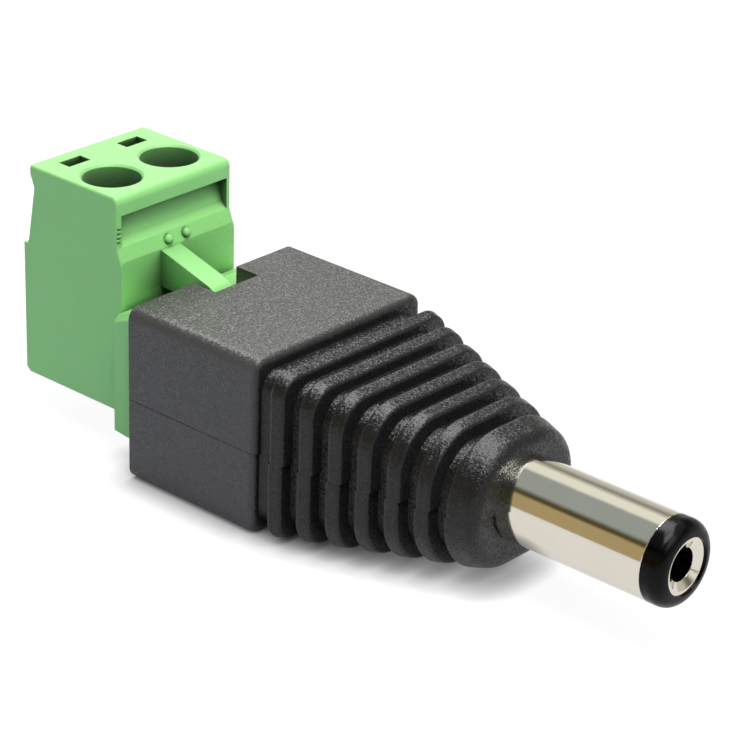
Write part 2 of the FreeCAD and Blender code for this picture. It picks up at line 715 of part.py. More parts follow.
def pole_voids(number, pole):
    """What the housing leaves open for one pole."""
    up, rear = Vector(0, 0, 1), Vector(1, 0, 0)
    half_cage = "(sizes.cage_width / 2 + sizes.cage_clear)"
    chamber_x = (f"({HOLE_X} - sizes.cage_length / 2 - sizes.cage_clear)",
                 f"({HOLE_X} + sizes.cage_length / 2 + sizes.cage_clear)")
    head_top = f"({HEAD_SEAT} + sizes.head_thick + sizes.head_play)"
    half_bar = "(sizes.bar_width / 2 + sizes.contact_clear)"
    leaf_low = f"({PIN_HEIGHT} - sizes.leaf_height / 2 - sizes.contact_clear)"
    leaf_high = f"({PIN_HEIGHT} + sizes.leaf_height / 2 + sizes.contact_clear)"
    step_front = f"({WEB_FRONT} + sizes.contact_clear)"
    half_port = "sizes.aperture / 2"
    nose_end = f"({PLUG_FACE} + sizes.nose_reach)"
    slot_middle = f"({PLUG_FACE} - sizes.test_slot_setback)"
    return [
        box(f"chamber_{number}", chamber_x, (f"{pole} - {half_cage}", f"{pole} + {half_cage}"),
            (f"({CAGE_BASE} - sizes.floor_gap)", HEAD_SEAT)),
        rod(f"head_bore_{number}", up, "sizes.screw_head / 2 + sizes.head_clear",
            f"{head_top} - {HEAD_SEAT} + sizes.cage_clear",
            HOLE_X, pole, f"({HEAD_SEAT} - sizes.cage_clear)"),
        rod(f"access_{number}", up, "sizes.access_diameter / 2", f"{PLUG_TOP} - {HEAD_SEAT}",
            HOLE_X, pole, HEAD_SEAT),
        rod(f"access_lead_{number}", up, "sizes.access_diameter / 2", "sizes.access_lead",
            HOLE_X, pole, f"({PLUG_TOP} - sizes.access_lead)",
            end_radius="sizes.access_diameter / 2 + sizes.access_lead"),
        rod(f"wire_bore_{number}", rear, "sizes.wire_bore / 2", f"{chamber_x[1]} - {PLUG_REAR}",
            PLUG_REAR, pole, WIRE_HEIGHT),
        rod(f"wire_funnel_{number}", rear, "sizes.wire_funnel / 2", "sizes.funnel_depth",
            PLUG_REAR, pole, WIRE_HEIGHT, end_radius="sizes.wire_bore / 2"),
        box(f"bar_void_{number}", (chamber_x[1], step_front),
            (f"{pole} - {half_bar}", f"{pole} + {half_bar}"),
            (leaf_low, f"({BAR_TOP} + sizes.contact_clear)")),
        box(f"leaf_void_{number}", (WEB_FRONT, f"({nose_end} - sizes.aperture_wall)"),
            (f"{pole} - {half_bar}", f"{pole} + {half_bar}"), (leaf_low, leaf_high)),
        box(f"pin_port_{number}", (WEB_FRONT, f"({nose_end} + 1)"),
            (f"{pole} - {half_port}", f"{pole} + {half_port}"),
            (f"{PIN_HEIGHT} - {half_port}", f"{PIN_HEIGHT} + {half_port}")),
        box(f"test_slot_{number}",
            (f"({slot_middle} - sizes.test_slot_width / 2)", f"({slot_middle} + sizes.test_slot_width / 2)"),
            (f"{pole} - sizes.test_slot_length / 2", f"{pole} + sizes.test_slot_length / 2"),
            (f"({PLUG_TOP} - sizes.test_slot_depth)", f"({PLUG_TOP} + 1)")),
    ]


def pole_dot(number, side):
    """Small dome on the bevel above the latch."""
    dot = doc.addObject("Part::Sphere", f"pole_dot_{number}")
    dot.setExpression("Radius", "sizes.dot_diameter / 2")
    bind_place(dot, f"({PLUG_FACE} - sizes.bevel_setback / 2)", f"{side} * sizes.dot_spacing / 2",
               f"({PLUG_BASE} + ({BEVEL_BASE} + {BEVEL_TOP}) / 2)")
    return dot


def marker_slot():
    """Slot for a marker strip, with a sloping floor and ledge."""
    body = body_at("marker_slot", f"({PLUG_FACE} - sizes.bevel_setback)", "0", PLUG_BASE)
    side = sketch_on(body, "marker_side", "XZ_Plane")
    top = "(sizes.plug_height - sizes.marker_drop)"
    outline(side, [("1", BEVEL_TOP), ("0", BEVEL_TOP),
                   ("-sizes.marker_floor", f"({BEVEL_TOP} + sizes.marker_ledge)"),
                   ("-sizes.marker_depth", top), ("1", top)])
    pad(body, "marker_pad", side, "sizes.plug_width - 2 * sizes.marker_wall", midplane=True)
    return body


def marker_serration(number):
    """Small step across the wall at one end of the marker slot."""
    low = f"({PLUG_BASE} + {BEVEL_TOP} + {number + 1} * sizes.serration_pitch)"
    lip = f"({PLUG_FACE} - sizes.bevel_setback)"
    return box(f"marker_serration_{number + 1}", (f"({lip} - sizes.serration_depth)", PLUG_FACE),
               ("(-sizes.plug_width)", "(sizes.marker_wall - sizes.plug_width / 2)"),
               (low, f"({low} + sizes.serration_width)"))


def plug_housing():
    """Housing of the terminal plug with everything it leaves open."""
    whole = join("plug_solid", [plug_form(), plug_nose(), plug_latch(), pole_dot(1, -1), pole_dot(2, 1)])
    voids = [marker_slot()] + [marker_serration(number) for number in range(SERRATIONS)]
    for number, pole in POLES:
        voids += pole_voids(number, pole)
    return cut("plug_housing", whole, voids)


def clamp_cage(number, pole):
    """Steel cage: a bent frame that is open along the wire, with the thread in its top."""
    body = body_at(f"clamp_cage_{number}", f"({HOLE_X} - sizes.cage_length / 2)", pole, CAGE_BASE)
    section = sketch_on(body, f"cage_section_{number}", "YZ_Plane")
    half, high = "(sizes.cage_width / 2)", f"({CAGE_TOP} - {CAGE_BASE})"
    inner = f"({half} - sizes.cage_side)"
    low, up = "sizes.cage_bottom", "(sizes.cage_bottom + sizes.cage_opening)"
    outline(section, [(half, "0"), (half, high), (f"-{half}", high), (f"-{half}", "0")])
    outline(section, [(inner, low), (inner, up), (f"-{inner}", up), (f"-{inner}", low)])
    pad(body, f"cage_pad_{number}", section, "sizes.cage_length")
    reach, top = value(half), value(high)
    dress(body, "Fillet", f"cage_bends_{number}", "sizes.cage_round",
          lambda edge: edge.BoundBox.YLength < 1e-4 and edge.BoundBox.ZLength < 1e-4
          and abs(abs(edge.BoundBox.YMin) - reach) < 1e-4
          and min(abs(edge.BoundBox.ZMin), abs(edge.BoundBox.ZMin - top)) < 1e-4)
    thread = rod(f"cage_thread_{number}", Vector(0, 0, 1), "sizes.screw_diameter / 2 + sizes.thread_clear",
                 "2 * sizes.cage_top", HOLE_X, pole, f"({OPENING_TOP} - sizes.cage_top / 2)")
    return cut(f"cage_{number}", body, [thread])


def clamp_screw(number, pole):
    """Slotted clamp screw, its tip just clear of the contact bar."""
    foot = f"({BAR_TOP} + sizes.tip_gap)"
    seat = f"({HEAD_SEAT} + sizes.tip_gap - {foot})"
    end = f"({seat} + sizes.head_thick)"
    body = body_at(f"clamp_screw_{number}", HOLE_X, pole, foot)
    half = sketch_on(body, f"screw_half_section_{number}", "XZ_Plane")
    shank, head, soft = "sizes.screw_diameter / 2", "sizes.screw_head / 2", "sizes.tip_recess"
    outline(half, [("0", "0"), (f"({shank} - 2 * {soft})", "0"), (shank, f"2 * {soft}"), (shank, seat),
                   (head, seat), (head, f"({end} - {soft})"), (f"({head} - {soft})", end), ("0", end)])
    feature = body.newObject("PartDesign::Revolution", f"screw_turn_{number}")
    feature.Profile = half
    feature.ReferenceAxis = (half, ["V_Axis"])
    feature.Angle = 360
    body.Tip = feature
    slot_half = "sizes.drive_slot / 2"
    top = f"({foot} + {end})"
    slot = box(f"drive_slot_{number}", (f"({HOLE_X} - sizes.screw_head)", f"({HOLE_X} + sizes.screw_head)"),
               (f"{pole} - {slot_half}", f"{pole} + {slot_half}"),
               (f"({top} - sizes.drive_depth)", f"({top} + 1)"))
    return cut(f"screw_{number}", body, [slot])


def plug_contact(number, pole):
    """Bent contact: bar in the cage, web down to the pin's height and two leaves with flared ends."""
    body = body_at(f"contact_bar_{number}", WEB_FRONT, pole, PIN_HEIGHT)
    side = sketch_on(body, f"contact_side_{number}", "XZ_Plane")
    low = "-(sizes.leaf_height / 2)"
    bar_low, bar_high = f"({BAR_BASE} - {PIN_HEIGHT})", f"({BAR_TOP} - {PIN_HEIGHT})"
    rear = f"({HOLE_X} - sizes.cage_length / 2 + sizes.bar_end - {WEB_FRONT})"
    outline(side, [("0", low), ("0", bar_high), (rear, bar_high), (rear, bar_low),
                   ("-sizes.web_thick", bar_low), ("-sizes.web_thick", low)])
    pad(body, f"contact_pad_{number}", side, "sizes.bar_width", midplane=True)
    pieces = [body] + [contact_leaf(number, pole, sign) for sign in ("", "-")]
    return join(f"contact_{number}", pieces)


def contact_leaf(number, pole, sign):
    """One leaf of a contact, flared where the pin enters."""
    name = f"leaf_{number}_{'left' if sign else 'right'}"
    body = body_at(name, WEB_FRONT, pole, f"({PIN_HEIGHT} - sizes.leaf_height / 2)")
    plan = sketch_on(body, f"{name}_plan", "XY_Plane")
    near = "(sizes.pin_size / 2 + sizes.pin_grip)"
    far = f"({near} + sizes.leaf_thick)"
    length = f"({LEAF_END} - {WEB_FRONT})"
    bend = f"({length} - 2 * sizes.leaf_flare)"
    points = [("-sizes.web_thick / 2", near), (bend, near), (length, f"({near} + sizes.leaf_flare)"),
              (length, f"({far} + sizes.leaf_flare)"), (bend, far), ("-sizes.web_thick / 2", far)]
    outline(plan, [(x, f"{sign}{y}") for x, y in points])
    pad(body, f"{name}_pad", plan, "sizes.leaf_height")
    return body


header = header_block()
pins = [header_pin(number, pole) for number, pole in POLES]
negative_lug = lug("sleeve_lug", f"({SLEEVE_REAR} - sizes.lug_thick)", "sizes.flange_diameter",
                   "(sizes.stem_diameter + 2 * sizes.lug_clear)", 1)
positive_lug = lug("centre_lug", f"({SLEEVE_REAR} - 2 * sizes.lug_thick - sizes.washer_thick)",
                   "sizes.lug_plate", "sizes.stem_diameter", -1)

nodes = {
    "overmould_body": overmould_body(overmould_form(), header, pins, [negative_lug, positive_lug]),
    "header_housing": header_housing(header, pins),
    "header_pin_1": pins[0],
    "header_pin_2": pins[1],
    "sleeve_lug": negative_lug,
    "centre_lug": positive_lug,
    "rear_washer": rear_washer(),
    "barrel_sleeve": barrel_sleeve(),
    "barrel_insulator": barrel_insulator(),
    "centre_contact": centre_contact(),
    "plug_housing": plug_housing(),
}
for number, pole in POLES:
    nodes[f"clamp_cage_{number}"] = clamp_cage(number, pole)
    nodes[f"clamp_screw_{number}"] = clamp_screw(number, pole)
    nodes[f"plug_contact_{number}"] = plug_contact(number, pole)

doc.recompute()
for item in doc.Objects:
    if "Invalid" in item.State or "Error" in item.State:
        raise RuntimeError(f"{item.Name} could not be built: {item.State}")
for node, item in nodes.items():
    item.Label = node
    shape = item.Shape
    if shape.isNull() or not shape.isValid() or not shape.Solids:
        raise RuntimeError(f"{node} has no valid solid")
    shape.exportStep(f"parts/{node}.step")
    bounds = shape.BoundBox
    print(f"{node}: {len(shape.Solids)} solid, {shape.Volume:.2f} mm3, "
          f"x {bounds.XMin:.2f} to {bounds.XMax:.2f}, y {bounds.YMin:.2f} to {bounds.YMax:.2f}, "
          f"z {bounds.ZMin:.2f} to {bounds.ZMax:.2f}")
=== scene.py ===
"""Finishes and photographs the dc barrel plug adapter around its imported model."""
import logging
import math
from dataclasses import dataclass, fields
from enum import Enum
from functools import cache
from typing import Any

import bpy
from mathutils import Matrix, Vector

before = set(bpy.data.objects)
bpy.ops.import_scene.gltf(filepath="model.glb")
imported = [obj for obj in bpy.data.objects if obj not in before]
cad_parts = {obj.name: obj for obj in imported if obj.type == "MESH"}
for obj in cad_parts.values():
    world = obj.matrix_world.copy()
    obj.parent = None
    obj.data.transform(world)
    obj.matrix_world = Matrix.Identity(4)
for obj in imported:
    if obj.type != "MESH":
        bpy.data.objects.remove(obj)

LOG = logging.getLogger("scene")
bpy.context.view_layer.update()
MM = 0.001

Tree = bpy.types.NodeTree
Socket = bpy.types.NodeSocket

# Sockets of a Mix node that mixes colours, which share their names with those for other types.
SHARE, FIRST, SECOND, MIXED = 0, 6, 7, 2
# Range in which nearly all values of a noise texture lie.
NOISE_LOW, NOISE_HIGH = 0.3, 0.7
# Rays that a node sends out to find what stands near, for the painted shade and painted shadow, and
# to round an edge.
PAINTED_SHADE_SAMPLES, EDGE_SAMPLES = 16, 4


def linear(hex_colour: str) -> tuple[float, float, float, float]:
    """Turn an sRGB colour into the linear one that a shader socket takes.

    Args:
        hex_colour: Six hex digits after a hash sign.

    Returns:
        Linear red, green and blue, with an alpha of one.
    """
    channels = (int(hex_colour[start:start + 2], 16) / 255 for start in (1, 3, 5))
    red, green, blue = (c / 12.92 if c <= 0.04045 else ((c + 0.055) / 1.055) ** 2.4
                        for c in channels)
    return red, green, blue, 1.0


def add_node(tree: Tree, kind: str, settings: dict[str, Any] | None = None,
             sockets: dict[str | int, Any] | None = None) -> bpy.types.Node:
    """Add a node with its settings, and with a value or a link on each given input.

    Args:
        tree: Node tree that takes the node.
        kind: Type of the node, as Blender names it.
        settings: Attributes of the node.
        sockets: Input to value, or input to the output socket that feeds it. An input is given by
            its name, or by its number where names repeat.

    Returns:
        The new node.
    """
    node = tree.nodes.new(kind)
    for name, setting in (settings or {}).items():
        setattr(node, name, setting)
    for name, given in (sockets or {}).items():
        if isinstance(given, bpy.types.NodeSocket):
            tree.links.new(given, node.inputs[name])
        else:
            node.inputs[name].default_value = given
    return node


def per_mm(size_mm: float) -> float:
    """Texture scale on Object coordinates, in metres, for a pattern of this size in millimetres."""
    return 1 / (size_mm * MM)


def fresh_material(name: str) -> tuple[bpy.types.Material, Tree]:
    """Make an empty node material.

    Args:
        name: Name of the finish.

    Returns:
        The material and its node tree.
    """
    material = bpy.data.materials.new(name)
    material.use_nodes = True
    material.node_tree.nodes.clear()
    return material, material.node_tree


@dataclass(frozen=True, kw_only=True)
class Finish:
    """Finish of a piece: two close colours that drift into each other, a gloss and soft edges."""

    name: str
    colour: str
    mottle: str
    roughness: float
    edge_mm: float
    cloud_mm: float
    cloud_detail: float
    cloud_roughness: float = 0.6

    @cache
    def material(self) -> bpy.types.Material:
        """Build the finish once, for all the pieces that have it.

        Returns:
            The material, on Object coordinates.
        """
        material, tree = fresh_material(self.name)
        place = add_node(tree, "ShaderNodeTexCoord").outputs["Object"]
        cloud = add_node(tree, "ShaderNodeTexNoise", sockets={
            "Vector": place, "Scale": per_mm(self.cloud_mm), "Detail": self.cloud_detail,
            "Roughness": self.cloud_roughness}).outputs["Fac"]
        edge = add_node(tree, "ShaderNodeBevel", {"samples": EDGE_SAMPLES}, {
            "Radius": self.edge_mm * MM}).outputs["Normal"]
        surface = self.surface(tree, place, cloud, edge)
        add_node(tree, "ShaderNodeOutputMaterial", sockets={"Surface": surface})
        return material

    def surface(self, tree: Tree, place: Socket, cloud: Socket, edge: Socket) -> Socket:
        """Shade the surface, as each kind of finish does in its own way.

        Args:
            tree: Node tree of the finish.
            place: Object coordinates.
            cloud: Slow change over the surface, from zero to one.
            edge: Normal of the surface, with its edges rounded.

        Returns:
            The shader.
        """
        raise NotImplementedError

    def pigment(self, tree: Tree, place: Socket, cloud: Socket) -> Socket:
        """Colour the open faces.

        Args:
            tree: Node tree of the finish.
            place: Object coordinates, for a finish that changes along the piece.
            cloud: Slow change over the surface, from zero to one.

        Returns:
            The colour for the place.
        """
        return add_node(tree, "ShaderNodeMix", {"data_type": "RGBA"}, {
            SHARE: cloud, FIRST: linear(self.colour), SECOND: linear(self.mottle)}).outputs[MIXED]

    @staticmethod
    def gloss(tree: Tree, cloud: Socket, least: float, most: float) -> Socket:
        """Let the roughness drift over the surface.

        Args:
            tree: Node tree of the finish.
            cloud: Slow change over the surface, from zero to one.
            least: Roughness where the surface is smoothest.
            most: Roughness where it is roughest.

        Returns:
            The roughness for the place.
        """
        return add_node(tree, "ShaderNodeMapRange", sockets={
            "Value": cloud, "From Min": NOISE_LOW, "From Max": NOISE_HIGH,
            "To Min": least, "To Max": most}).outputs["Result"]


@dataclass(frozen=True, kw_only=True)
class PaintedShade:
    """Painted shade: how a colour is painted darker in holes, slots and grooves, where little light
    gets in.

    A place is painted at its darkest where no more than the share shut of what it faces, within the
    reach, is open, and has its plain colour from the share open upwards.
    """

    deep: str
    reach_mm: float
    shut: float
    open: float

    def shade(self, tree: Tree, colour: Socket) -> Socket:
        """Paint shade into a colour by how much of the piece stands near.

        Args:
            tree: Node tree of the finish.
            colour: Colour of the open faces.

        Returns:
            The colour for the place.
        """
        painted_shade_occlusion = add_node(tree, "ShaderNodeAmbientOcclusion", {
            "samples": PAINTED_SHADE_SAMPLES, "only_local": True}, {"Distance": self.reach_mm * MM})
        openness = add_node(tree, "ShaderNodeMapRange", {"interpolation_type": "SMOOTHSTEP"}, {
            "Value": painted_shade_occlusion.outputs["AO"], "From Min": self.shut, "From Max": self.open})
        return add_node(tree, "ShaderNodeMix", {"data_type": "RGBA"}, {
            SHARE: openness.outputs["Result"], FIRST: linear(self.deep),
            SECOND: colour}).outputs[MIXED]


class Grain(Enum):
    """How the steel of the mould left a moulding: the tilt of its grain, as a slope."""

    SPARK_ERODED = 0.38
    SATIN = 0.10
    POLISHED = 0.03


@dataclass(frozen=True, kw_only=True)
class MouldedPlastic(Finish):
    """Injection moulded plastic with the grain of its mould."""

    grain: Grain
    grain_mm: float
    recess: PaintedShade
    ior: float = 1.5
    specular: float = 0.5
    haze: float = 0.0
    translucency: float = 0.0
    translucency_mm: float = 0.4
    cloud_mm: float = 6.0
    cloud_detail: float = 4.0
    gloss_drift: float = 0.04
    warp_grains: float = 1.7

    def surface(self, tree: Tree, place: Socket, cloud: Socket, edge: Socket) -> Socket:
        """Shade the plastic.

        Args:
            tree: Node tree of the finish.
            place: Object coordinates.
            cloud: Slow change over the surface, from zero to one.
            edge: Normal of the surface, with its edges rounded.

        Returns:
            The shader.
        """
        # The base colour carries painted shade, darker where the piece stands near.
        return add_node(tree, "ShaderNodeBsdfPrincipled", sockets={
            "Base Color": self.recess.shade(tree, self.pigment(tree, place, cloud)),
            "Roughness": self.gloss(tree, cloud, self.roughness - self.gloss_drift,
                                    self.roughness + self.gloss_drift),
            "IOR": self.ior, "Specular IOR Level": self.specular, "Sheen Weight": self.haze,
            "Subsurface Weight": self.translucency,
            "Subsurface Scale": self.translucency_mm * MM,
            "Normal": self.grained(tree, place, edge)}).outputs["BSDF"]

    def grained(self, tree: Tree, place: Socket, normal: Socket) -> Socket:
        """Tilt the surface crater by crater, so that a few catch the lamp and the rest stay dark.

        Args:
            tree: Node tree of the finish.
            place: Object coordinates.
            normal: Normal of the smooth surface.

        Returns:
            The tilted normal.
        """
        warp = add_node(tree, "ShaderNodeTexNoise", sockets={
            "Vector": place, "Scale": per_mm(self.grain_mm * self.warp_grains), "Detail": 2.0})
        shift = add_node(tree, "ShaderNodeVectorMath", {"operation": "MULTIPLY_ADD"}, {
            0: warp.outputs["Color"], 1: (self.grain_mm * MM,) * 3, 2: place})
        crater = add_node(tree, "ShaderNodeTexVoronoi", sockets={
            "Vector": shift.outputs["Vector"], "Scale": per_mm(self.grain_mm)})
        tilt = add_node(tree, "ShaderNodeVectorMath", {"operation": "SUBTRACT"}, {
            0: crater.outputs["Color"], 1: (0.5,) * 3})
        turned = add_node(tree, "ShaderNodeVectorMath", {"operation": "MULTIPLY_ADD"}, {
            0: tilt.outputs["Vector"], 1: (self.grain.value,) * 3, 2: normal})
        return add_node(tree, "ShaderNodeVectorMath", {"operation": "NORMALIZE"}, {
            0: turned.outputs["Vector"]}).outputs["Vector"]


@dataclass(frozen=True, kw_only=True)
class OvermouldPlastic(MouldedPlastic):
    """The overmould's plastic: matte on the block, with ribs and nose painted darker as painted
    shade, and a parting line.
    """

    ribbed: str = "#0e0e0f"
    block_end_mm: float = -2.3
    fade_mm: float = 0.6
    parting_mm: float = 5.6
    line_mm: float = 0.09

    def pigment(self, tree: Tree, place: Socket, cloud: Socket) -> Socket:
        """Colour the block, paint shade onto the ribs and nose, and draw the parting line of the
        mould.

        Args:
            tree: Node tree of the finish.
            place: Object coordinates.
            cloud: Slow change over the surface, from zero to one.

        Returns:
            The colour for the place.
        """
        matte = super().pigment(tree, place, cloud)
        parts = add_node(tree, "ShaderNodeSeparateXYZ", sockets={"Vector": place})
        # Painted shade: from the block's end onwards, the ribs and nose get a darker colour of the
        # same plastic.
        rib_shade_mask = add_node(tree, "ShaderNodeMapRange", {"interpolation_type": "SMOOTHSTEP"}, {
            "Value": parts.outputs["X"], "From Min": self.block_end_mm * MM,
            "From Max": (self.block_end_mm + self.fade_mm) * MM})
        rib_shaded = add_node(tree, "ShaderNodeMix", {"data_type": "RGBA"}, {
            SHARE: rib_shade_mask.outputs["Result"], FIRST: matte, SECOND: linear(self.ribbed)})
        line = add_node(tree, "ShaderNodeMath", {"operation": "COMPARE"}, {
            0: parts.outputs["Z"], 1: self.parting_mm * MM, 2: self.line_mm / 2 * MM})
        return add_node(tree, "ShaderNodeMix", {"data_type": "RGBA"}, {
            SHARE: line.outputs["Value"], FIRST: rib_shaded.outputs[MIXED],
            SECOND: linear(self.recess.deep)}).outputs[MIXED]


@dataclass(frozen=True, kw_only=True)
class PlatedMetal(Finish):
    """Plated or bare metal, with the fine marks that drawing, turning or stamping leaves."""

    mark_mm: tuple[float, float, float]
    mark_depth_mm: float
    mark_detail: float = 3.0
    wave_mm: float = 1.2
    wave_depth_mm: float = 0.006
    wave_detail: float = 2.0
    edge_mm: float = 0.05
    cloud_mm: float = 2.5
    cloud_detail: float = 5.0
    smoothest: float = 0.8
    roughest: float = 1.3

    def surface(self, tree: Tree, place: Socket, cloud: Socket, edge: Socket) -> Socket:
        """Shade the metal, with a slow wave in its surface and fine marks over it.

        Args:
            tree: Node tree of the finish.
            place: Object coordinates.
            cloud: Slow change over the surface, from zero to one.
            edge: Normal of the surface, with its edges rounded.

        Returns:
            The shader.
        """
        swell = add_node(tree, "ShaderNodeTexNoise", sockets={
            "Vector": place, "Scale": per_mm(self.wave_mm), "Detail": self.wave_detail})
        wavy = add_node(tree, "ShaderNodeBump", sockets={
            "Height": swell.outputs["Fac"], "Distance": self.wave_depth_mm * MM, "Normal": edge})
        stretched = add_node(tree, "ShaderNodeMapping", sockets={
            "Vector": place, "Scale": tuple(per_mm(size) for size in self.mark_mm)})
        marks = add_node(tree, "ShaderNodeTexNoise", sockets={
            "Vector": stretched.outputs["Vector"], "Scale": 1.0, "Detail": self.mark_detail})
        marked = add_node(tree, "ShaderNodeBump", sockets={
            "Height": marks.outputs["Fac"], "Distance": self.mark_depth_mm * MM,
            "Normal": wavy.outputs["Normal"]})
        return add_node(tree, "ShaderNodeBsdfPrincipled", sockets={
            "Base Color": self.pigment(tree, place, cloud), "Metallic": 1.0,
            "Roughness": self.gloss(tree, cloud, self.roughness * self.smoothest,
                                    self.roughness * self.roughest),
            "Normal": marked.outputs["Normal"]}).outputs["BSDF"]


# ABS moulded against spark-eroded steel. The craters spread the light, so flat faces look dull
# and dark grey, and single ones sparkle where a rib or an edge turns to the lamp. Real craters are
# about 0.03 mm wide, finer than a pixel, and are drawn coarser so that the sparkle shows.
BLACK_ABS = OvermouldPlastic(
    name="spark_eroded_black_abs", colour="#444240", mottle="#4c4a48", roughness=0.34,
    specular=0.36, haze=0.08, grain=Grain.SPARK_ERODED, grain_mm=0.078, edge_mm=0.1,
    # Painted shade: grooves and hollows are painted near black, and ribs and nose darker than the
    # block. The same near black draws the parting line.
    recess=PaintedShade(deep="#030303", reach_mm=2.2, shut=0.35, open=0.95))
# Polyamide moulded against satin steel. It has an even, soft gloss and lets a little light in, so
# that its edges look mild. Where walls face each other its colour is painted deep green, as painted
# shade.
# The satin's grain, about 0.02 mm in the real mould, is drawn coarser so that it breaks up the
# gloss.
GREEN_POLYAMIDE = MouldedPlastic(
    name="satin_green_polyamide", colour="#97e381", mottle="#9de689", roughness=0.45, ior=1.53,
    haze=0.12, translucency=0.15, grain=Grain.SATIN, grain_mm=0.12, edge_mm=0.1,
    recess=PaintedShade(deep="#0f3a05", reach_mm=6.0, shut=0.24, open=0.88))
# PBT moulded against polished steel. The tip looks almost black, with one small bright glint on its
# round edge. What is left of the polish marks is drawn coarser than the real ones.
BLACK_PBT = MouldedPlastic(
    name="polished_black_pbt", colour="#010102", mottle="#020203", roughness=0.2, specular=0.14,
    grain=Grain.POLISHED, grain_mm=0.3, edge_mm=0.05,
    # Painted shade: its hollows are painted a little darker.
    recess=PaintedShade(deep="#010101", reach_mm=1.0, shut=0.2, open=0.8))
# Bright nickel on turned and drawn brass. It mirrors the room in long bands, a little warm, with
# faint streaks along the barrel. Real streaks are microns wide and are drawn coarser so that they
# show.
NICKEL = PlatedMetal(
    name="bright_nickel_plate", colour="#e3ded2", mottle="#d9d3c4", roughness=0.09,
    mark_mm=(6.0, 0.2, 0.2), mark_depth_mm=0.0005)
# Tin on drawn or rolled copper alloy. It is paler and softer in gloss than nickel, with streaks
# along the strip, drawn coarser than real.
TIN = PlatedMetal(
    name="tin_plate", colour="#d9dad6", mottle="#c8c9c6", roughness=0.3,
    mark_mm=(2.0, 0.2, 0.2), mark_depth_mm=0.001)
# Bare brass strip, stamped. It is yellow and half dull, with the strip's rolling streaks, drawn
# coarser than real.
BRASS = PlatedMetal(
    name="stamped_brass", colour="#d9b66a", mottle="#c9a457", roughness=0.3,
    mark_mm=(1.0, 0.2, 0.2), mark_depth_mm=0.001)
# Zinc plate on steel, passivated. It looks cool grey and slightly cloudy, with an even, fine
# roughness, drawn coarser than real.
ZINC = PlatedMetal(
    name="zinc_plated_steel", colour="#c9ccd0", mottle="#b3b7bc", roughness=0.34,
    mark_mm=(0.3, 0.3, 0.3), mark_depth_mm=0.002)
# Paper laminate, punched. It is brown and dull, with a faint unevenness from the press.
LAMINATE = MouldedPlastic(
    name="punched_laminate", colour="#8a5a32", mottle="#7a4d2a", roughness=0.6,
    grain=Grain.SATIN, grain_mm=0.3, edge_mm=0.04,
    # Painted shade: its hollows are painted dark brown.
    recess=PaintedShade(deep="#3a2412", reach_mm=1.0, shut=0.2, open=0.8))


class SubAssembly:
    """Pieces that are put together as one. Each field is a piece of the model, with its finish."""

    def dress(self) -> None:
        """Give each piece its finish."""
        for piece in fields(self):
            finish = getattr(self, piece.name)
            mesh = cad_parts[piece.name].data
            mesh.materials.clear()
            mesh.materials.append(finish.material())
            LOG.info("%s: %s has %s", type(self).__name__, piece.name, finish.name)


@dataclass(frozen=True)
class Overmould(SubAssembly):
    """Black block, ribs and nose, moulded around the header and the rear of the barrel."""

    overmould_body: Finish = BLACK_ABS


@dataclass(frozen=True)
class Header(SubAssembly):
    """Green shroud with its two pins, and what joins the pins to the barrel."""

    header_housing: Finish = GREEN_POLYAMIDE
    header_pin_1: Finish = TIN
    header_pin_2: Finish = TIN
    sleeve_lug: Finish = BRASS
    centre_lug: Finish = BRASS
    rear_washer: Finish = LAMINATE


@dataclass(frozen=True)
class Barrel(SubAssembly):
    """Sleeve with its lining and its centre contact, which go into the jack."""

    barrel_sleeve: Finish = NICKEL
    barrel_insulator: Finish = BLACK_PBT
    centre_contact: Finish = NICKEL


@dataclass(frozen=True)
class TerminalPlug(SubAssembly):
    """Green plug with the contacts, cages and screws for two wires."""

    plug_housing: Finish = GREEN_POLYAMIDE
    plug_contact_1: Finish = TIN
    plug_contact_2: Finish = TIN
    clamp_cage_1: Finish = ZINC
    clamp_cage_2: Finish = ZINC
    clamp_screw_1: Finish = ZINC
    clamp_screw_2: Finish = ZINC


@dataclass(frozen=True)
class Viewpoint:
    """Camera that stands where the photograph was taken from."""

    azimuth: float = math.radians(41.57)
    elevation: float = math.radians(25.28)
    roll: float = math.radians(1.78)
    distance: float = 183.03 * MM
    aim: tuple[float, float, float] = (0.33 * MM, 0.0, 9.91 * MM)
    focal_mm: float = 146.25
    nearest: float = 0.01
    farthest: float = 10.0

    def place(self) -> None:
        """Create the camera and make it the scene's."""
        level = math.cos(self.elevation)
        back = Vector((math.sin(self.azimuth) * level, -math.cos(self.azimuth) * level,
                       math.sin(self.elevation)))
        right = Vector((math.cos(self.azimuth), math.sin(self.azimuth), 0.0))
        up = back.cross(right)
        cosine, sine = math.cos(self.roll), math.sin(self.roll)
        right, up = cosine * right + sine * up, cosine * up - sine * right
        camera = bpy.data.objects.new("camera", bpy.data.cameras.new("camera"))
        bpy.context.scene.collection.objects.link(camera)
        turn = Matrix((right, up, back)).transposed().to_4x4()
        stand = Vector(self.aim) + back * self.distance
        camera.matrix_world = Matrix.Translation(stand) @ turn
        camera.data.lens = self.focal_mm
        camera.data.clip_start, camera.data.clip_end = self.nearest, self.farthest
        bpy.context.scene.camera = camera


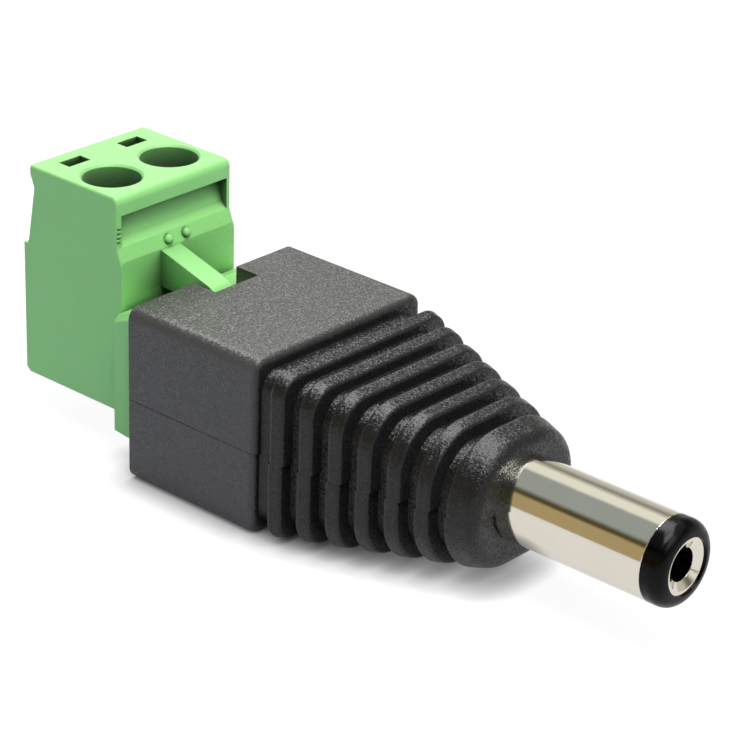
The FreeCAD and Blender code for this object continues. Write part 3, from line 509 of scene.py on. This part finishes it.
@dataclass(frozen=True)
class SoftBox:
    """Square soft box that looks at the middle of the object."""

    name: str
    towards: tuple[float, float, float]
    distance: float
    side: float
    watts: float
    spares: tuple[str, ...] = ()
    gloss_only: bool = False

    def hang(self) -> None:
        """Hang the box in its direction from the object, and let it pass over what it spares."""
        data = bpy.data.lights.new(self.name, "AREA")
        data.shape, data.size, data.energy = "SQUARE", self.side, self.watts
        lamp = bpy.data.objects.new(self.name, data)
        bpy.context.scene.collection.objects.link(lamp)
        lamp.visible_diffuse = not self.gloss_only
        if self.spares:
            spared = bpy.data.collections.new(f"{self.name}_spares")
            for name in self.spares:
                spared.objects.link(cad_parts[name])
            lamp.light_linking.receiver_collection = spared
            for member in spared.collection_objects:
                member.light_linking.link_state = "EXCLUDE"
        place = Vector(self.towards).normalized() * self.distance
        turn = place.to_track_quat("Z", "Y").to_matrix().to_4x4()
        lamp.matrix_world = Matrix.Translation(place) @ turn
        LOG.info("%s hangs at %s", self.name, tuple(round(c, 3) for c in place))


# The last two stand behind the object, where the nickel would mirror them as one white band.
BRIGHT_METAL = ("barrel_sleeve", "centre_contact")
BOXES = (
    SoftBox("overhead", (0.25, -0.10, 0.96), distance=0.35, side=0.20, watts=1.12),
    SoftBox("front", (0.75, -0.05, 0.65), distance=0.35, side=0.16, watts=0.23),
    SoftBox("rim", (-0.60, 0.376, 0.706), distance=0.30, side=0.14, watts=0.30,
            spares=BRIGHT_METAL),
    SoftBox("sparkle", (-0.22, 0.20, 0.95), distance=0.30, side=0.16, watts=0.64,
            spares=BRIGHT_METAL, gloss_only=True),
)

HALF_TURN = 180


@dataclass(frozen=True)
class RoomBand:
    """Surface of the room, of one colour between two directions round the barrel's axis.

    The directions are degrees, from the front horizon over the top to the back one.
    """

    start: float
    end: float
    colour: str


class Room(Enum):
    """Plain room that bright metal mirrors: a few even surfaces, which blend where they meet."""

    WARM_FRONT_WALL = RoomBand(0, 32, "#a89870")
    DARK_CEILING_EDGE = RoomBand(38, 44, "#504830")
    GREY_CEILING = RoomBand(54, 100, "#98a0a0")
    LIGHT_PANEL = RoomBand(108, 130, "#e8e8e0")
    DARK_GAP = RoomBand(142, 150, "#686860")
    PALE_BACK_WALL = RoomBand(164, 180, "#c0c0b8")


@dataclass(frozen=True)
class Studio:
    """White table and soft light.

    The camera sees the floor at the level floor_white and gloss mirrors it at floor_mirrored, both
    darkened by a painted contact shadow where the object stands near it, and with a small share of
    the lamps' light, which keeps the lamps' soft shadow faintly. All other light meets a plain
    matte floor of floor_colour.
    """

    ambient: float = 0.11
    ambient_colour: str = "#c8dcff"
    room_strength: float = 1.25
    floor_span: float = 3.0
    floor_colour: str = "#bcc6da"
    floor_white: float = 0.94
    floor_mirrored: float = 0.82
    floor_share: float = 0.12
    contact_mm: float = 2.2
    contact_fall: float = 1.4

    def world(self) -> None:
        """Light the scene evenly, show white behind the object and let gloss mirror the room."""
        world = bpy.data.worlds.new("studio")
        bpy.context.scene.world = world
        world.use_nodes = True
        tree = world.node_tree
        tree.nodes.clear()
        rays = add_node(tree, "ShaderNodeLightPath")
        seen = add_node(tree, "ShaderNodeMath", {"operation": "MAXIMUM"}, {
            0: rays.outputs["Is Camera Ray"], 1: rays.outputs["Is Transmission Ray"]})
        soft = add_node(tree, "ShaderNodeBackground", sockets={
            "Color": linear(self.ambient_colour), "Strength": self.ambient})
        room = add_node(tree, "ShaderNodeBackground", sockets={
            "Color": self.room_colour(tree), "Strength": self.room_strength})
        white = add_node(tree, "ShaderNodeBackground", sockets={
            "Color": linear("#ffffff"), "Strength": 1.0})
        mirrored = add_node(tree, "ShaderNodeMixShader", sockets={
            0: rays.outputs["Is Glossy Ray"], 1: soft.outputs["Background"],
            2: room.outputs["Background"]})
        shown = add_node(tree, "ShaderNodeMixShader", sockets={
            0: seen.outputs["Value"], 1: mirrored.outputs["Shader"],
            2: white.outputs["Background"]})
        add_node(tree, "ShaderNodeOutputWorld", sockets={"Surface": shown.outputs["Shader"]})

    @staticmethod
    def room_colour(tree: Tree) -> Socket:
        """Colour the room by the direction round the barrel's axis.

        Args:
            tree: Node tree of the world.

        Returns:
            The colour for a direction.
        """
        direction = add_node(tree, "ShaderNodeTexCoord").outputs["Generated"]
        parts = add_node(tree, "ShaderNodeSeparateXYZ", sockets={"Vector": direction})
        front = add_node(tree, "ShaderNodeMath", {"operation": "MULTIPLY"}, {
            0: parts.outputs["Y"], 1: -1.0})
        angle = add_node(tree, "ShaderNodeMath", {"operation": "ARCTAN2"}, {
            0: parts.outputs["Z"], 1: front.outputs["Value"]})
        turn = add_node(tree, "ShaderNodeMath", {"operation": "DIVIDE"}, {
            0: angle.outputs["Value"], 1: math.pi})
        ramp = add_node(tree, "ShaderNodeValToRGB", sockets={"Fac": turn.outputs["Value"]})
        stops = ramp.color_ramp.elements
        ends = [(degrees, linear(band.value.colour)) for band in Room
                for degrees in (band.value.start, band.value.end)]
        for degrees, colour in ends[1:-1]:
            stops.new(degrees / HALF_TURN).color = colour
        stops[0].color, stops[-1].color = ends[0][1], ends[-1][1]
        return ramp.outputs["Color"]

    def floor(self) -> None:
        """Lay a white table top with a painted contact shadow, darkest where the two touch, and a
        faint share of the lamps' real shadow.
        """
        bpy.ops.mesh.primitive_plane_add(size=self.floor_span, location=(0, 0, 0))
        table = bpy.context.active_object
        table.name = "floor"
        material, tree = fresh_material("white_table")
        rays = add_node(tree, "ShaderNodeLightPath")
        seen = add_node(tree, "ShaderNodeMath", {"operation": "MAXIMUM"}, {
            0: rays.outputs["Is Camera Ray"], 1: rays.outputs["Is Glossy Ray"]})
        # Painted shadow: the table's glow is darkened by how much of the object stands near, not by
        # light.
        painted_shade_occlusion = add_node(tree, "ShaderNodeAmbientOcclusion", {"samples": PAINTED_SHADE_SAMPLES}, {
            "Distance": self.contact_mm * MM})
        shade = add_node(tree, "ShaderNodeMath", {"operation": "POWER"}, {
            0: painted_shade_occlusion.outputs["AO"], 1: self.contact_fall})
        level = add_node(tree, "ShaderNodeMapRange", sockets={
            "Value": rays.outputs["Is Glossy Ray"], "To Min": self.floor_white,
            "To Max": self.floor_mirrored})
        white = add_node(tree, "ShaderNodeMath", {"operation": "MULTIPLY"}, {
            0: shade.outputs["Value"], 1: level.outputs["Result"]})
        glow = add_node(tree, "ShaderNodeEmission", sockets={"Strength": white.outputs["Value"]})
        faint = add_node(tree, "ShaderNodeBsdfDiffuse", sockets={
            "Color": (self.floor_share,) * 3 + (1.0,)})
        shown = add_node(tree, "ShaderNodeAddShader", sockets={
            0: glow.outputs["Emission"], 1: faint.outputs["BSDF"]})
        matte = add_node(tree, "ShaderNodeBsdfDiffuse", sockets={
            "Color": linear(self.floor_colour)})
        both = add_node(tree, "ShaderNodeMixShader", sockets={
            0: seen.outputs["Value"], 1: matte.outputs["BSDF"], 2: shown.outputs["Shader"]})
        add_node(tree, "ShaderNodeOutputMaterial", sockets={"Surface": both.outputs["Shader"]})
        table.data.materials.append(material)


def main() -> None:
    """Build the scene."""
    logging.basicConfig(level=logging.INFO, format="%(name)s: %(message)s")
    bpy.ops.object.select_all(action="DESELECT")
    for assembly in (Overmould(), Header(), Barrel(), TerminalPlug()):
        assembly.dress()
    studio = Studio()
    studio.world()
    for box in BOXES:
        box.hang()
    studio.floor()
    Viewpoint().place()
    bpy.context.scene.view_settings.view_transform = "Standard"


if __name__ == "__main__":
    main()
